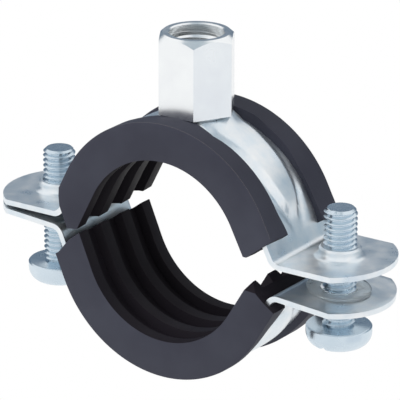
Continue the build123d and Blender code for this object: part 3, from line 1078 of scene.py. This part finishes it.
def show_plain(tree, lit, plain, output):
    """Shade with one shader, and show the other wherever the surface is seen directly."""
    blend = add_node(tree, "ShaderNodeMixShader")
    tree.links.new(seen_directly(tree), blend.inputs["Fac"])
    tree.links.new(lit.outputs[0], blend.inputs[1])
    tree.links.new(plain.outputs[0], blend.inputs[2])
    tree.links.new(blend.outputs[0], tree.nodes[output].inputs["Surface"])


def reflection_card(name, place, size, tint):
    """Card that faces the middle and shows only in reflections: upright, or level where it is overhead."""
    deselect()
    bpy.ops.mesh.primitive_plane_add(size=1.0, location=place)
    card = bpy.context.object
    card.name = name
    card.scale = (*size, 1)
    upright = Vector((-place.x, -place.y, 0))
    facing = upright if upright.length > 0 else Vector((0, 0, -1))
    card.rotation_euler = facing.to_track_quat("Z", "Y").to_euler()
    material, _, shader = new_material(name + "_paint")
    shader.inputs["Base Color"].default_value = (0, 0, 0, 1)
    shader.inputs["Specular IOR Level"].default_value = 0.0
    shader.inputs["Emission Color"].default_value = (*tint, 1)
    shader.inputs["Emission Strength"].default_value = 1.0
    card.data.materials.append(material)
    card.visible_camera = False
    card.visible_diffuse = False
    card.visible_transmission = False
    card.visible_shadow = False


def add_camera(scene, view):
    """Camera on its orbit round the seat, moved sideways and upwards, then rolled."""
    azimuth, lift = view.azimuth, view.elevation
    right = Vector((cos(azimuth), sin(azimuth), 0))
    back = Vector((sin(azimuth) * cos(lift), -cos(azimuth) * cos(lift), sin(lift)))
    up = back.cross(right)
    place = right * view.shift_right + up * view.shift_up + back * view.distance
    right, up = (
        right * cos(view.roll) + up * sin(view.roll),
        up * cos(view.roll) - right * sin(view.roll),
    )
    lens = bpy.data.cameras.new("camera")
    lens.sensor_width = SENSOR
    lens.lens = view.focal_pixels / FRAME_PIXELS * SENSOR
    lens.clip_start = 0.02
    lens.clip_end = 50.0
    camera = bpy.data.objects.new("camera", lens)
    scene.collection.objects.link(camera)
    rows = [(right[row], up[row], back[row], place[row]) for row in range(3)]
    camera.matrix_world = Matrix((*rows, (0, 0, 0, 1)))
    scene.camera = camera


def add_floor(white):
    """Floor that is plain white to the eye and wherever metal or clear plastic shows it."""
    deselect()
    bpy.ops.mesh.primitive_plane_add(size=12.0, location=(0, 0, FLOOR_LEVEL))
    floor = bpy.context.object
    floor.name = "floor"
    material, tree, shader = new_material("floor_paint")
    shader.inputs["Base Color"].default_value = (*white, 1)
    shader.inputs["Roughness"].default_value = 0.9
    glow = add_node(tree, "ShaderNodeEmission", {"Color": (*white, 1), "Strength": 1.0})
    show_plain(tree, shader, glow, "Material Output")
    floor.data.materials.append(material)


def add_world(scene):
    """Plain soft light all round, and white to the eye and in reflections."""
    world = bpy.data.worlds.new("studio")
    scene.world = world
    world.use_nodes = True
    tree = world.node_tree
    sky = tree.nodes["Background"]
    sky.inputs["Color"].default_value = (1.0, 1.0, 1.0, 1)
    sky.inputs["Strength"].default_value = 0.5
    eye = add_node(tree, "ShaderNodeBackground", {"Color": (1, 1, 1, 1), "Strength": 1.0})
    show_plain(tree, sky, eye, "World Output")


class PIPECLAMP_OT_stage(bpy.types.Operator):
    """Sets up the camera, the floor, the soft light and the cards that the metal reflects"""

    bl_idname = "pipeclamp.stage"
    bl_label = "Studio"

    def execute(self, context):
        clamp = context.scene.pipe_clamp
        paint = clamp.colours
        context.scene.view_settings.view_transform = "Standard"
        add_camera(context.scene, clamp.view)
        add_floor(paint.floor)
        add_world(context.scene)

        # The back card stands low, so that only faces that look up show it
        azimuth = clamp.view.azimuth
        behind = Vector((-sin(azimuth), cos(azimuth), 0)) * 0.5 + Vector((0, 0, 0.105))
        for name, place, size, tint in (
            ("back_card", behind, (2.6, 0.40), paint.card),
            ("tall_card", Vector((0.34, 0.41, 0.16)), (0.36, 0.32), paint.half_shade),
            ("ceiling_card", Vector((0, 0, 0.5)), (0.34, 0.34), paint.half_shade),
            ("low_card", Vector((0.30, -0.02, -0.09)), (0.30, 0.13), paint.shade),
        ):
            reflection_card(name, place, size, tint)

        area_lamp("key_light", (-0.35, -0.45, 0.55), (0, 0, 0), 0.5, 5.0)
        area_lamp("side_light", (0.6, -0.1, 0.35), (0, 0, 0), 0.4, 1.5)
        return {"FINISHED"}


class PipeClampView(bpy.types.PropertyGroup):
    """Where the camera stands."""

    azimuth: turn("Azimuth", "Turn of the view about the upright", 34.342)
    elevation: turn("Elevation", "Height angle of the view", 19.903)
    roll: turn("Roll", "Tilt of the view", 0.13)
    distance: length("Distance", "From the camera to the seat's centre", 650.0)
    shift_right: bpy.props.FloatProperty(
        name="Shift right", description="Camera moved to its right", default=0.647 * MM, unit="LENGTH"
    )
    shift_up: bpy.props.FloatProperty(
        name="Shift up", description="Camera moved upwards", default=5.958 * MM, unit="LENGTH"
    )
    focal_pixels: bpy.props.FloatProperty(
        name="Focal length", description="Focal length in pixels of a frame 400 wide", default=3588.2
    )


class PipeClamp(bpy.types.PropertyGroup):
    """Everything that a user would change."""

    bands: bpy.props.PointerProperty(type=PipeClampBandSizes)
    liners: bpy.props.PointerProperty(type=PipeClampLinerSizes)
    fasteners: bpy.props.PointerProperty(type=PipeClampFastenerSizes)
    placing: bpy.props.PointerProperty(type=PipeClampPlacing)
    colours: bpy.props.PointerProperty(type=PipeClampColours)
    view: bpy.props.PointerProperty(type=PipeClampView)


class PIPECLAMP_PT_panel(bpy.types.Panel):
    """Lists the steps that build the clamp"""

    bl_idname = "PIPECLAMP_PT_panel"
    bl_label = "Pipe Clamp"
    bl_space_type = "VIEW_3D"
    bl_region_type = "UI"
    bl_category = "Pipe Clamp"

    def draw(self, context):
        clamp = context.scene.pipe_clamp
        for step in STEPS:
            self.layout.operator(step.bl_idname)
        for group in (clamp.bands, clamp.liners, clamp.fasteners, clamp.placing, clamp.colours, clamp.view):
            box = self.layout.box()
            for name in group.bl_rna.properties.keys():
                if name not in ("rna_type", "name"):
                    box.prop(group, name)


STEPS = (
    PIPECLAMP_OT_bands,
    PIPECLAMP_OT_liners,
    PIPECLAMP_OT_nut,
    PIPECLAMP_OT_screws,
    PIPECLAMP_OT_washers,
    PIPECLAMP_OT_stage,
)
CLASSES = (
    PipeClampBandSizes,
    PipeClampLinerSizes,
    PipeClampFastenerSizes,
    PipeClampPlacing,
    PipeClampColours,
    PipeClampView,
    PipeClamp,
    *STEPS,
    PIPECLAMP_PT_panel,
)


def register():
    """Make the settings, the steps and the panel known to Blender."""
    for item in CLASSES:
        bpy.utils.register_class(item)
    bpy.types.Scene.pipe_clamp = bpy.props.PointerProperty(type=PipeClamp)


def unregister():
    """Take them out again."""
    del bpy.types.Scene.pipe_clamp
    for item in reversed(CLASSES):
        bpy.utils.unregister_class(item)


def main():
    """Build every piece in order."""
    register()
    bpy.ops.pipeclamp.bands()
    bpy.ops.pipeclamp.liners()
    bpy.ops.pipeclamp.nut()
    bpy.ops.pipeclamp.screws()
    bpy.ops.pipeclamp.washers()
    bpy.ops.pipeclamp.stage()


if __name__ == "__main__":
    main()
